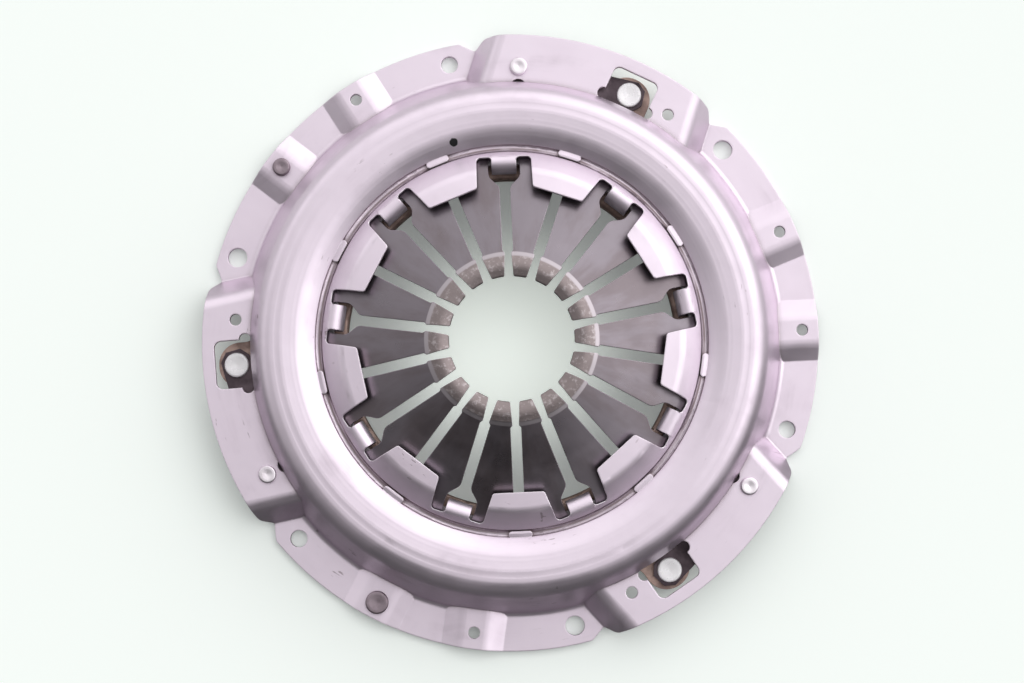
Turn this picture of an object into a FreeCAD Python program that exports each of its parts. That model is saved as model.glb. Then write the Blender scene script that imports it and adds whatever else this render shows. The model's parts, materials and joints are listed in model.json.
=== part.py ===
import FreeCAD, Part
import math
import os

import Sketcher

# Diaphragm-spring clutch cover assembly for a 216 mm friction disc, in millimetres.
# Z points from the flywheel to the release bearing, and Z = 0 is the mounting face of the
# flange. Everything is drawn with the middle of one raised pad on +Y, and then each piece
# is turned about Z by "clocking" to its place.

SIZES = (
    # the pressed cover
    ("outer_diameter", 270.4, "rim of the cover"),
    ("sheet", 3.2, "thickness of the pressed steel"),
    ("clocking", -17.4, "turn of the first pad from +Y, degrees"),
    ("flange_width", 16.6, "rim to the foot of the dome wall"),
    ("wall_lean", 17.3, "lean of the dome wall from upright, degrees"),
    ("crest_height", 35.0, "top of the dome"),
    ("shoulder_bend", 12.0, "outer bend of the dome"),
    ("crest_bend", 14.0, "inner bend of the dome"),
    ("inner_slope", 45.0, "slope from the crest down to the groove, degrees"),
    ("foot_bend", 2.5, "bend between flange and wall"),
    ("lever", 19.4, "ridge of the plate to the circle on which the spring tilts"),
    ("groove_width", 3.2, "groove over the fulcrum"),
    ("groove_depth", 1.4, "depth of that groove"),
    ("groove_lean", 0.4, "each side of the groove narrows it by this at the floor"),
    ("groove_round", 1.1, "rounded corners of the groove's floor"),
    ("bead_round", 1.0, "rounded corners of the bead below the groove"),
    ("valley_height", 27.2, "edges of the groove"),
    ("tab_slope", 35.0, "rise from the groove to the tabs, degrees"),
    ("tab_height", 33.5, "flat top of the stop tabs"),
    ("tab_tilt", 4.5, "rise of the tab's top towards its end, degrees"),
    ("tab_bend", 6.0, "bend at the root of the tabs"),
    ("tab_reach", 17.7, "stop tabs inwards from the fulcrum"),
    ("tab_tip_half", 11.1, "half width of a stop tab at its end"),
    ("tab_corner", 1.4, "rounded corners of that end"),
    ("opening_half", 11.85, "half width of the opening between two tabs at its root"),
    ("opening_corner", 1.9, "outer corners of that opening"),
    ("tab_count", 9, "stop tabs, and as many hooks between them"),
    ("notch_inset", 4.0, "fulcrum to the outer ends of the notches beside the hooks"),
    ("hook_half", 5.4, "half width of a hook"),
    ("hook_corner", 1.5, "inner corners between a hook and the opening"),
    ("hook_bend", 4.4, "bend at the top of a hook"),
    ("hook_foot_bend", 1.0, "inner bend above a hook's foot"),
    ("hook_lap", 1.2, "hooks start this far inside the groove"),
    ("hook_inset", 10.4, "fulcrum to the inner face of the hooks"),
    ("hook_foot", 9.4, "reach of the hook's foot below the crown ring"),
    ("stop_half", 5.1, "half length of a coined stop in the groove"),
    ("stop_width_half", 1.4, "half width of that stop"),
    ("stop_shift", 0.4, "stop outwards from the fulcrum"),
    ("stop_rise", 0.1, "stop above the edges of the groove"),
    # raised pads, ribs and holes of the flange
    ("pad_count", 3, "raised pads"),
    ("pad_top", 17.0, "top of the raised pads"),
    ("cut_margin", 1.0, "cuts through the pads start this far above them"),
    ("pad_angle", 20.1, "half of the angle that a pad's top takes, degrees"),
    ("pad_flank", 30.0, "lean of the pad's ends, degrees"),
    ("pad_bend", 6.5, "bend round the pad's top"),
    ("pad_foot", 0.8, "bend at the foot of the pad's ends and of the ribs"),
    ("pad_lap", 18.6, "pads start this far inside the foot of the wall"),
    ("rib_rise", 3.0, "height of the small ribs above the flange"),
    ("rib_half", 6.2, "half width of a rib's top"),
    ("rib_flank", 67.6, "lean of the rib's sides, degrees"),
    ("rib_angle", 10.0, "rib from the middle of a flange segment, degrees"),
    ("rib_bend", 10.0, "bend along a rib's top"),
    ("rib_lap", 10.6, "ribs start this far inside the foot of the wall"),
    ("skirt", 8.0, "width of the flange that is drawn beside a pad or rib"),
    ("notch_depth", 4.4, "notch in the rim at each pad end"),
    ("notch_root", 1.2, "rounded root of that notch"),
    ("notch_low_slope", 33.5, "side of that notch on the flange, degrees"),
    ("notch_high_slope", 43.9, "side of that notch on the pad, degrees"),
    ("notch_corner", 4.5, "rounded corners of the rim at the notch"),
    ("bolt_margin", 8.2, "rim to the circle of the mounting bolts"),
    ("bolt_hole", 7.4, "three holes for the mounting bolts"),
    ("dowel_hole", 8.4, "three holes for the locating bolts"),
    ("bolt_angle", 30.0, "bolt from the middle of a flange segment, degrees"),
    ("balance_hole", 5.1, "holes for balance rivets in the ribs"),
    ("balance_margin", 7.2, "rim to the circle of the balance holes"),
    # drive straps and their rivets
    ("rivet_margin", 14.3, "rim to the circle of the strap and lug rivets"),
    ("lug_angle", -7.9, "lug rivet from the middle of a pad, degrees"),
    ("anchor_angle", 16.0, "strap rivet from the middle of a pad, degrees"),
    ("pad_hole_angle", -17.1, "gauge hole from the middle of a pad, degrees"),
    ("strap_width", 13.0, "width of a strap leaf"),
    ("leaf", 0.8, "thickness of a strap leaf"),
    ("leaf_gap", 0.05, "gap between the leaves"),
    ("leaf_count", 3, "leaves in a strap"),
    ("strap_end", 6.6, "strap beyond its rivet hole"),
    ("strap_flat", 9.0, "flat part from the rivet hole inwards"),
    ("strap_corner", 3.6, "cut corners of a strap"),
    ("strap_bend", 12.0, "bends of a strap"),
    ("anchor_shank", 5.0, "shank of a strap rivet"),
    ("anchor_head", 7.8, "head of a strap rivet"),
    ("lug_shank", 6.0, "shank of a lug rivet"),
    ("lug_head", 10.7, "head of a lug rivet"),
    ("head_height", 2.0, "height of the rivet heads"),
    ("head_round", 0.8, "rounded edge of the rivet heads"),
    ("head_dish", 0.3, "shallow dish in the rivet heads"),
    ("balance_head_height", 2.8, "height of the balance rivets' heads"),
    ("balance_tail", 1.8, "height of their tails below the ribs"),
    ("fit", 0.06, "radial play of a rivet in its hole"),
    ("window_half", 10.5, "half width of the window over a lug"),
    ("window_length", 17.3, "length of that window"),
    ("window_margin", 5.5, "rim to the outer edge of that window"),
    ("window_corner", 3.0, "outer corners of that window"),
    ("ear_hole", 5.2, "relief holes at the inner corners of that window"),
    ("ear_setback", 3.6, "relief holes from the inner edge of the window"),
    ("nick_hole", 6.6, "half-round nick in the pad beside the wall"),
    ("nick_inset", 6.4, "foot of the wall to the middle of the nicks"),
    ("small_balance_head", 7.8, "head of the smaller balance rivet"),
    ("large_balance_head", 10.1, "head of the larger balance rivet"),
    # diaphragm spring and its crown ring
    ("spring", 2.4, "thickness of the diaphragm spring"),
    ("cone", 15.5, "cone of the free spring, degrees"),
    ("finger_cone", 17.5, "slope of the inner half of the fingers, degrees"),
    ("spring_inset", 2.1, "edge of the plate to the edge of the spring"),
    ("finger_slope_length", 18.5, "steeper inner part of the fingers"),
    ("head_length", 10.7, "length of the finger heads"),
    ("head_crest", 4.8, "tip to the top of a finger head"),
    ("finger_tip_radius", 27.0, "inner ends of the fingers"),
    ("head_rise", 1.7, "crown of the finger heads"),
    ("head_drop", 1.2, "fall from the crown to the tips"),
    ("spring_round", 0.6, "rounded edges of the spring"),
    ("slot_half", 2.27, "half width of the slots"),
    ("slot_step", 1.0, "length over which the slots narrow between the heads"),
    ("head_slot_half", 1.38, "half width of the slots between the heads"),
    ("tip_slot_half", 1.95, "the same at the tips"),
    ("tip_corner", 1.0, "rounded corners of the tips"),
    ("flare_length", 4.6, "length over which the slots widen"),
    ("hook_window_half", 6.9, "half width of the windows for the hooks"),
    ("flare_bend", 4.0, "rounding at the wide end of the flare"),
    ("window_lead", 1.8, "hook to the full width of its window in the spring"),
    ("hook_window_length", 9.0, "length of that full width"),
    ("window_round", 3.2, "outer corners of those windows and of the other slots"),
    ("keyhole_half", 4.0, "half width of the other slots at their root"),
    ("keyhole_lead", 2.0, "the other slots widen nearer to the axis by this"),
    ("keyhole_inset", 1.4, "other slots shorter than those windows by this"),
    ("contact_gap", 0.05, "play at the fulcrum"),
    ("crown", 1.5, "thickness of the crown ring"),
    ("crown_bead", 1.0, "bead of the crown ring"),
    ("ring_round", 0.4, "rounded edges of the crown ring"),
    ("crown_nose", 0.5, "half width of that bead's top"),
    ("crown_inside", 6.2, "crown ring inwards from the fulcrum"),
    ("crown_outside", 3.0, "crown ring outwards from the fulcrum"),
    # pressure plate
    ("plate_clearance", 10.3, "foot of the wall to the edge of the plate"),
    ("bore_inset", 11.6, "fulcrum to the bore of the plate"),
    ("friction_face", 1.0, "friction face in the free state"),
    ("plate_land", 9.4, "low inner land behind the face"),
    ("plate_back", 11.3, "back of the plate beside the ridge"),
    ("land_width", 4.9, "fulcrum to the edge of the inner land"),
    ("ridge_inset", 3.2, "edge of the spring to the ridge that it presses on"),
    ("ridge_half", 1.2, "half width of the ridge's top"),
    ("ridge_play", 0.1, "play between ridge and spring"),
    ("lug_top", 6.9, "top of the lugs in the free state"),
    ("lug_thickness", 4.5, "thickness of a lug"),
    ("lug_half", 10.0, "half width of a lug"),
    ("lug_root_half", 17.0, "half width of a lug at the plate"),
    ("lug_margin", 6.2, "rim to the outer end of a lug"),
    ("lug_recess", 1.6, "counterbore below a lug"),
    ("recess_play", 0.2, "play of the rivet's tail in that counterbore"),
    ("lug_waist", 6.5, "hollow corner between lug and plate"),
    ("ridge_lean", 2.2, "each side of the ridge widens it by this at its foot"),
    ("cast_round", 1.5, "rounded edges of the casting"),
    ("face_chamfer", 1.0, "chamfer round the friction face"),
)


class Size:
    """A length or angle that keeps both its number and the formula behind it."""

    def __init__(self, value, formula):
        self.value = value
        self.formula = formula

    def __add__(self, other):
        other = sized(other)
        return Size(self.value + other.value, f"({self.formula} + {other.formula})")

    def __sub__(self, other):
        other = sized(other)
        return Size(self.value - other.value, f"({self.formula} - {other.formula})")

    def __mul__(self, other):
        other = sized(other)
        return Size(self.value * other.value, f"({self.formula} * {other.formula})")

    def __truediv__(self, other):
        other = sized(other)
        return Size(self.value / other.value, f"({self.formula} / {other.formula})")

    def __neg__(self):
        return Size(-self.value, f"(-1 * {self.formula})")

    def __radd__(self, other):
        return sized(other) + self

    def __rsub__(self, other):
        return sized(other) - self

    def __rmul__(self, other):
        return sized(other) * self

    def __rtruediv__(self, other):
        return sized(other) / self


def sized(number):
    return number if isinstance(number, Size) else Size(number, repr(number))


def tangent(angle):
    return Size(math.tan(math.radians(angle.value)), f"tan({angle.formula})")


def cosine(angle):
    return Size(math.cos(math.radians(angle.value)), f"cos({angle.formula})")


def sine(angle):
    return Size(math.sin(math.radians(angle.value)), f"sin({angle.formula})")


def arcsine(ratio):
    return Size(math.degrees(math.asin(ratio.value)), f"(asin({ratio.formula}) / 1 deg)")


class Sheet:
    """The spreadsheet of driving sizes; sheet.name is the Size of that name."""

    def __init__(self, document, rows):
        cells = document.addObject("Spreadsheet::Sheet", "sizes")
        for row, (name, value, note) in enumerate(rows, start=1):
            cells.set(f"A{row}", name)
            cells.set(f"B{row}", str(value))
            cells.set(f"C{row}", note)
            cells.setAlias(f"B{row}", name)
            setattr(self, name, Size(value, f"sizes.{name}"))
        document.recompute()


doc = FreeCAD.newDocument("clutch_cover")
size = Sheet(doc, SIZES)
bodies = []

# Values that several pieces share
rim_radius = size.outer_diameter / 2
wall_foot = rim_radius - size.flange_width
bolt_radius = rim_radius - size.bolt_margin
balance_radius = rim_radius - size.balance_margin
rivet_radius = rim_radius - size.rivet_margin
window_reach = rim_radius - size.window_margin
window_root = window_reach - size.window_length
ear_radius = window_root + size.ear_setback
nick_radius = wall_foot - size.nick_inset
lug_reach = rim_radius - size.lug_margin
plate_radius = wall_foot - size.plate_clearance
spring_radius = plate_radius - size.spring_inset
ridge_radius = spring_radius - size.ridge_inset
fulcrum_radius = ridge_radius - size.lever
opening_end = fulcrum_radius - size.notch_inset
hook_face = fulcrum_radius - size.hook_inset
tab_tip = fulcrum_radius - size.tab_reach
plate_bore = fulcrum_radius - size.bore_inset
land_radius = fulcrum_radius + size.land_width
crown_inner = fulcrum_radius - size.crown_inside
crown_outer = fulcrum_radius + size.crown_outside
finger_crest = size.finger_tip_radius + size.head_crest
finger_head = size.finger_tip_radius + size.head_length
finger_bend = finger_head + size.finger_slope_length
hook_window = hook_face - size.window_lead
slot_flare = hook_window - size.flare_length
hook_window_end = hook_window + size.hook_window_length
keyhole_end = hook_window_end - size.keyhole_inset
pad_half = rim_radius * sine(size.pad_angle)
pad_pitch = 360 / size.pad_count
segment_angle = pad_pitch / 2
below_pads = size.pad_top / 2
above_pads = size.pad_top + size.cut_margin
pad_under = size.pad_top - size.sheet
fulcrum_height = size.valley_height - size.groove_depth - size.sheet
tab_foot = fulcrum_radius - size.groove_width / 2
bead_inner = tab_foot - (
    size.sheet / cosine(size.tab_slope) - size.groove_depth - size.sheet
) / tangent(size.tab_slope)
spring_upright = size.spring / cosine(size.cone)
pack_height = size.leaf * size.leaf_count + size.leaf_gap * (size.leaf_count - 1)
strap_top = pad_under - size.contact_gap
strap_bottom = strap_top - pack_height
half_span = (size.anchor_angle - size.lug_angle) / 2
strap_half_length = rivet_radius * sine(half_span)
strap_line = rivet_radius * cosine(half_span)
head_top = size.lug_top + pack_height + size.head_height


def spring_top_at(radius):
    """Height of the spring's upper side on its outer cone, which leans on the groove's bead."""
    fall = (radius - bead_inner) * tangent(size.cone)
    return fulcrum_height - size.contact_gap - fall


crown_top = spring_top_at(fulcrum_radius + size.crown_nose) - spring_upright - size.contact_gap
foot_top = crown_top - size.crown_bead - size.crown


def start_body(label, turn):
    """A body turned about Z, so that its +Y side comes to the wanted angle."""
    body = doc.addObject("PartDesign::Body", label)
    body.Label = label
    angle = size.clocking + turn
    body.Placement = FreeCAD.Placement(FreeCAD.Vector(), FreeCAD.Rotation(FreeCAD.Vector(0, 0, 1), 1))
    body.setExpression("Placement.Rotation.Angle", angle.formula)
    bodies.append(body)
    return body


def origin_feature(body, role):
    return next(item for item in body.Origin.OriginFeatures if item.Role == role)


def start_sketch(body, plane, turn=0, lift=0, along=0):
    """A sketch on an origin plane, lifted off its plane, moved along its own first axis and
    then turned about the body's Z axis."""
    sketch = body.newObject("Sketcher::SketchObject", f"{plane}_outline")
    sketch.AttachmentSupport = [(origin_feature(body, f"{plane}_Plane"), "")]
    sketch.MapMode = "FlatFace"
    turn, lift, along = sized(turn), sized(lift), sized(along)
    axis = FreeCAD.Vector(0, 0, 1)
    if plane != "XY":
        axis = FreeCAD.Vector(0, 1, 0)
        along, lift = (
            along * cosine(turn) + lift * sine(turn),
            lift * cosine(turn) - along * sine(turn),
        )
    sketch.AttachmentOffset = FreeCAD.Placement(FreeCAD.Vector(), FreeCAD.Rotation(axis, 1))
    sketch.setExpression("AttachmentOffset.Rotation.Angle", turn.formula)
    sketch.setExpression("AttachmentOffset.Base.z", lift.formula)
    sketch.setExpression("AttachmentOffset.Base.x", along.formula)
    return sketch


def fix(sketch, constraint, value):
    index = sketch.addConstraint(constraint)
    sketch.setExpression(f"Constraints[{index}]", value.formula)


def place_point(sketch, geometry, end, x, y):
    fix(sketch, Sketcher.Constraint("DistanceX", -1, 1, geometry, end, x.value), x)
    fix(sketch, Sketcher.Constraint("DistanceY", -1, 1, geometry, end, y.value), y)


def vector(x, y):
    return FreeCAD.Vector(x, y, 0)


def rounded_corner(before, corner, after, radius):
    """Tangent points, centre and sense of an arc that rounds one corner."""
    back = (before - corner).normalize()
    ahead = (after - corner).normalize()
    half = back.getAngle(ahead) / 2
    reach = radius / math.tan(half)
    middle = (back + ahead).normalize() * (radius / math.sin(half)) + corner
    turns_left = back.cross(ahead).z < 0
    return corner + back * reach, corner + ahead * reach, middle, turns_left


def outline(sketch, corners):
    """A closed outline of lines through the corners (x, y) or (x, y, bend radius)."""
    corners = [tuple(sized(number) for number in corner) for corner in corners]
    points = [vector(corner[0].value, corner[1].value) for corner in corners]
    count = len(corners)
    leave, arrive, arcs = list(points), list(points), {}
    for index, corner in enumerate(corners):
        if len(corner) == 3:
            found = rounded_corner(
                points[index - 1], points[index], points[(index + 1) % count], corner[2].value
            )
            arrive[index], leave[index] = found[0], found[1]
            arcs[index] = found[2:]
    lines = [
        sketch.addGeometry(Part.LineSegment(leave[index], arrive[(index + 1) % count]))
        for index in range(count)
    ]
    for index, corner in enumerate(corners):
        line_in, line_out = lines[index - 1], lines[index]
        if index not in arcs:
            sketch.addConstraint(Sketcher.Constraint("Coincident", line_in, 2, line_out, 1))
            place_point(sketch, line_out, 1, corner[0], corner[1])
            continue
        middle, turns_left = arcs[index]
        first, last = arrive[index] - middle, leave[index] - middle
        if not turns_left:
            first, last = last, first
        circle = Part.Circle(middle, vector(0, 0) + FreeCAD.Vector(0, 0, 1), corner[2].value)
        arc = sketch.addGeometry(
            Part.ArcOfCircle(circle, math.atan2(first.y, first.x), math.atan2(last.y, last.x))
        )
        start, end = (1, 2) if turns_left else (2, 1)
        sketch.addConstraint(Sketcher.Constraint("Tangent", line_in, 2, arc, start))
        sketch.addConstraint(Sketcher.Constraint("Tangent", arc, end, line_out, 1))
        fix(sketch, Sketcher.Constraint("Radius", arc, corner[2].value), corner[2])
        mark = sketch.addGeometry(Part.Point(points[index]), True)
        place_point(sketch, mark, 1, corner[0], corner[1])
        sketch.addConstraint(Sketcher.Constraint("PointOnObject", mark, 1, line_in))
        sketch.addConstraint(Sketcher.Constraint("PointOnObject", mark, 1, line_out))
    return sketch


def mirrored(corners):
    """Right-hand corners, from bottom to top, followed by their mirror images."""
    return list(corners) + [(-sized(corner[0]),) + tuple(corner[1:]) for corner in reversed(corners)]


def hole(sketch, x, y, radius):
    x, y, radius = sized(x), sized(y), sized(radius)
    circle = sketch.addGeometry(
        Part.Circle(vector(x.value, y.value), FreeCAD.Vector(0, 0, 1), radius.value)
    )
    place_point(sketch, circle, 3, x, y)
    fix(sketch, Sketcher.Constraint("Radius", circle, radius.value), radius)


def revolve(body, sketch, cut=False):
    kind = "PartDesign::Groove" if cut else "PartDesign::Revolution"
    feature = body.newObject(kind, "turned_cut" if cut else "turned")
    feature.Profile = sketch
    feature.ReferenceAxis = (sketch, ["V_Axis"])
    feature.Angle = 360
    feature.Refine = False
    return feature


def extrude(body, sketch, length, cut=False, both_ways=False, backwards=False):
    kind = "PartDesign::Pocket" if cut else "PartDesign::Pad"
    feature = body.newObject(kind, "pressed_cut" if cut else "pressed")
    feature.Profile = sketch
    length = sized(length)
    feature.Length = length.value
    feature.setExpression("Length", length.formula)
    feature.SideType = "Symmetric" if both_ways else "One side"
    feature.Reversed = backwards
    feature.Refine = False
    return feature


def repeat(body, features, count):
    """Copies of the features, spread evenly round the body's Z axis."""
    pattern = body.newObject("PartDesign::PolarPattern", "round_z")
    pattern.Originals = list(features)
    pattern.Axis = (origin_feature(body, "Z_Axis"), [""])
    pattern.Angle = 360
    count = sized(count)
    pattern.Occurrences = int(count.value)
    pattern.setExpression("Occurrences", count.formula)
    pattern.Refine = False
    body.Tip = pattern
    return pattern


def drill(body, places, count, top, bottom):
    """Upright holes (turn, circle radius, diameter), drawn together and repeated round Z."""
    sketch = start_sketch(body, "XY", lift=top)
    for turn, radius, diameter in places:
        hole(sketch, -radius * sine(turn), radius * cosine(turn), diameter / 2)
    return repeat(body, [extrude(body, sketch, sized(top) - bottom, cut=True)], count)


def raised_bar(body, turn, lap, half, flank, height, bend):
    """One pressed-up bar of the flange, drawn across its length: outer form and hollow."""
    inside = wall_foot - lap
    base_half = half + (height - size.sheet) * tangent(flank)
    skirt = base_half + size.skirt
    step = size.sheet * tangent((90 - flank) / 2)
    reach = size.flange_width * 2 + lap
    outer = start_sketch(body, "XZ", turn=turn, lift=-inside)
    outline(outer, mirrored([
        (skirt, 0),
        (skirt, size.sheet),
        (base_half, size.sheet, size.pad_foot),
        (half, height, bend),
    ]))
    hollow = start_sketch(body, "XZ", turn=turn, lift=-inside)
    outline(hollow, mirrored([
        (skirt, -size.sheet),
        (skirt, 0),
        (base_half - step, 0, size.pad_foot + size.sheet),
        (half - step, height - size.sheet, bend - size.sheet),
    ]))
    return outer, hollow, reach


def pressed_section(body):
    """Section of the dome, groove and tabs, solid down to the mounting face."""
    wall_top = wall_foot - (size.crest_height - size.sheet) * tangent(size.wall_lean)
    groove_half = size.groove_width / 2
    slope_foot = fulcrum_radius + groove_half
    crest_inner = slope_foot + (size.crest_height - size.valley_height) / tangent(size.inner_slope)
    rise, tilt = tangent(size.tab_slope), tangent(size.tab_tilt)
    tab_rise = size.tab_height - size.valley_height - (tab_foot - tab_tip) * tilt
    tab_start = tab_foot - tab_rise / (rise - tilt)
    groove_floor = size.valley_height - size.groove_depth
    inner_edge = tab_tip - size.sheet
    outer = start_sketch(body, "XZ")
    outline(outer, [
        (inner_edge, 0),
        (rim_radius, 0),
        (rim_radius, size.sheet),
        (wall_foot, size.sheet, size.foot_bend),
        (wall_top, size.crest_height, size.shoulder_bend),
        (crest_inner, size.crest_height, size.crest_bend),
        (slope_foot, size.valley_height),
        (slope_foot - size.groove_lean, groove_floor, size.groove_round),
        (tab_foot + size.groove_lean, groove_floor, size.groove_round),
        (tab_foot, size.valley_height),
        (tab_start, size.tab_height - (tab_start - tab_tip) * tilt, size.tab_bend),
        (inner_edge, size.tab_height + (tab_tip - inner_edge) * tilt),
    ])
    # The hollow under the sheet follows the same lines, one thickness below them
    wall_step = size.sheet * tangent((90 - size.wall_lean) / 2)
    crest_step = size.sheet * tangent(size.inner_slope / 2)
    half_turn = tangent((size.tab_slope - size.tab_tilt) / 2)
    tab_step = size.sheet * (half_turn * cosine(size.tab_tilt) + sine(size.tab_tilt))
    tab_under = size.tab_height - size.sheet / cosine(size.tab_tilt)
    bead_outer = slope_foot + (
        size.sheet / cosine(size.inner_slope) - size.groove_depth - size.sheet
    ) / tangent(size.inner_slope)
    hollow_start = inner_edge - size.sheet
    wall_hollow = wall_foot - wall_step
    hollow = start_sketch(body, "XZ")
    outline(hollow, [
        (hollow_start, -size.sheet),
        (wall_foot + size.skirt, -size.sheet),
        (wall_foot + size.skirt, 0),
        (wall_hollow, 0, size.foot_bend + size.sheet),
        (wall_top - wall_step, size.crest_height - size.sheet, size.shoulder_bend - size.sheet),
        (crest_inner + crest_step, size.crest_height - size.sheet, size.crest_bend - size.sheet),
        (bead_outer, fulcrum_height, size.bead_round),
        (bead_inner, fulcrum_height, size.bead_round),
        (tab_start - tab_step, tab_under - (tab_start - tab_step - tab_tip) * tilt,
         size.tab_bend - size.sheet),
        (hollow_start, tab_under + (tab_tip - hollow_start) * tilt),
    ])
    return outer, hollow


def make_cover():
    """The pressed cover: flange with pads and ribs, dome, fulcrum groove, tabs and hooks."""
    body = start_body("cover", 0)
    dome, dome_hollow = pressed_section(body)
    revolve(body, dome)

    pad, pad_hollow, pad_reach = raised_bar(
        body, 0, size.pad_lap, pad_half, size.pad_flank, size.pad_top, size.pad_bend
    )
    repeat(body, [extrude(body, pad, pad_reach, backwards=True)], size.pad_count)
    rib_turns = (-segment_angle - size.rib_angle, -segment_angle + size.rib_angle)
    rib_top = size.sheet + size.rib_rise
    ribs = [
        raised_bar(body, turn, size.rib_lap, size.rib_half, size.rib_flank, rib_top, size.rib_bend)
        for turn in rib_turns
    ]
    repeat(
        body, [extrude(body, rib[0], rib[2], backwards=True) for rib in ribs], size.pad_count
    )

    revolve(body, dome_hollow, cut=True)
    repeat(body, [extrude(body, pad_hollow, pad_reach, cut=True)], size.pad_count)
    repeat(body, [extrude(body, rib[1], rib[2], cut=True) for rib in ribs], size.pad_count)

    trim = start_sketch(body, "XZ")
    beyond = rim_radius + size.flange_width * 2 + size.skirt
    outline(trim, [
        (rim_radius, -size.sheet),
        (beyond, -size.sheet),
        (beyond, size.pad_top + size.sheet),
        (rim_radius, size.pad_top + size.sheet),
    ])
    revolve(body, trim, cut=True)
    cut_rim(body)
    cut_flange_holes(body)
    cut_tabs(body)
    add_hooks(body)
    return body


def cut_rim(body):
    """V notches with rounded corners in the rim, one at the foot of each pad end."""
    base_half = pad_half + (size.pad_top - size.sheet) * tangent(size.pad_flank)
    root = rim_radius - size.notch_depth
    turn = arcsine(base_half / root)
    cuts = []
    for side in (-1, 1):
        sides = []
        for way, slope in ((side, size.notch_low_slope), (-side, size.notch_high_slope)):
            mouth = size.notch_depth / tangent(slope)
            mouth_turn = arcsine(mouth / rim_radius)
            sides.append([
                (way * mouth, rim_radius * cosine(mouth_turn), size.notch_corner),
                (way * rim_radius * sine(mouth_turn * 2), rim_radius),
            ])
        sketch = start_sketch(body, "XY", turn=turn * -side, lift=above_pads)
        outline(sketch, [(0, root, size.notch_root)] + sides[0] + sides[1][::-1])
        cuts.append(extrude(body, sketch, above_pads + size.sheet, cut=True))
    repeat(body, cuts, size.pad_count)


def cut_flange_holes(body):
    """Windows over the lugs, nicks, rivet and gauge holes, bolt holes and balance holes."""
    window = start_sketch(body, "XY", turn=size.lug_angle, lift=above_pads)
    outline(window, mirrored([
        (size.window_half, window_root),
        (size.window_half, window_reach, size.window_corner),
    ]))
    window_cut = extrude(body, window, above_pads - below_pads, cut=True)
    ears = start_sketch(body, "XY", turn=size.lug_angle, lift=above_pads)
    for side in (-1, 1):
        hole(ears, side * size.window_half, ear_radius, size.ear_hole / 2)
    ear_cut = extrude(body, ears, above_pads - below_pads, cut=True)
    nick = start_sketch(body, "XY", turn=size.anchor_angle, lift=size.pad_top + size.contact_gap)
    hole(nick, 0, nick_radius, size.nick_hole / 2)
    nick_cut = extrude(body, nick, size.sheet * 1.3, cut=True)
    repeat(body, [window_cut, ear_cut, nick_cut], size.pad_count)

    drill(body, (
        (size.anchor_angle, rivet_radius, size.anchor_shank + size.fit * 2),
        (size.pad_hole_angle, rivet_radius, size.balance_hole),
        (size.bolt_angle - segment_angle, bolt_radius, size.dowel_hole),
        (-size.bolt_angle - segment_angle, bolt_radius, size.bolt_hole),
        (size.rib_angle - segment_angle, balance_radius, size.balance_hole),
        (-size.rib_angle - segment_angle, balance_radius, size.balance_hole),
    ), size.pad_count, above_pads, -size.sheet)


def cut_tabs(body):
    """The stop tabs are what is left of the inner edge between the hook openings."""
    half_pitch = 180 / size.tab_count
    lift = size.crest_height + size.sheet
    depth = lift - fulcrum_height + size.sheet

    def beside_tab(along, out):
        """A point given from the middle line of the next tab, seen from the opening."""
        return (
            out * sine(half_pitch) - along * cosine(half_pitch),
            out * cosine(half_pitch) + along * sine(half_pitch),
        )

    opening = start_sketch(body, "XY", turn=half_pitch, lift=lift)
    outline(opening, mirrored([
        beside_tab(sized(-1), tab_tip - size.sheet * 2),
        beside_tab(sized(-1), tab_tip),
        beside_tab(size.tab_tip_half, tab_tip) + (size.tab_corner,),
        (size.opening_half, opening_end, size.opening_corner),
        (size.hook_half, opening_end, size.hook_corner),
        (size.hook_half, opening_end - size.hook_corner * 1.5),
    ]))
    middle = start_sketch(body, "XY", turn=half_pitch, lift=lift)
    outline(middle, mirrored([
        (size.hook_half, opening_end - size.hook_corner * 2),
        (size.hook_half, opening_end),
    ]))
    repeat(body, [extrude(body, sketch, depth, cut=True) for sketch in (opening, middle)],
           size.tab_count)
    stop = start_sketch(body, "XY", lift=size.valley_height - size.groove_depth - size.sheet / 8)
    stop_middle = fulcrum_radius + size.stop_shift
    stop_round = size.stop_width_half - 0.01
    outline(stop, mirrored([
        (size.stop_half, stop_middle - size.stop_width_half, stop_round),
        (size.stop_half, stop_middle + size.stop_width_half, stop_round),
    ]))
    stop_height = size.groove_depth + size.sheet / 8 + size.stop_rise
    repeat(body, [extrude(body, stop, stop_height)], size.tab_count)


def add_hooks(body):
    """Narrow tabs bent down through the spring and outwards below the crown ring."""
    rise = tangent(size.tab_slope)
    drop = size.sheet / cosine(size.tab_slope)
    root = tab_foot - size.hook_lap
    leg_outer = hook_face + size.sheet
    foot_reach = hook_face + size.hook_foot
    foot_bottom = foot_top - size.sheet
    sketch = start_sketch(body, "YZ", turn=180 / size.tab_count)
    outline(sketch, [
        (root, size.valley_height + (tab_foot - root) * rise),
        (hook_face, size.valley_height + (tab_foot - hook_face) * rise, size.hook_bend),
        (hook_face, foot_bottom, size.hook_foot_bend + size.sheet),
        (foot_reach, foot_bottom),
        (foot_reach, foot_top),
        (leg_outer, foot_top, size.hook_foot_bend),
        (leg_outer, size.valley_height + (tab_foot - leg_outer) * rise - drop,
         size.hook_bend - size.sheet),
        (root, size.valley_height + (tab_foot - root) * rise - drop),
    ])
    repeat(body, [extrude(body, sketch, size.hook_half * 2, both_ways=True)], size.tab_count)


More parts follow.
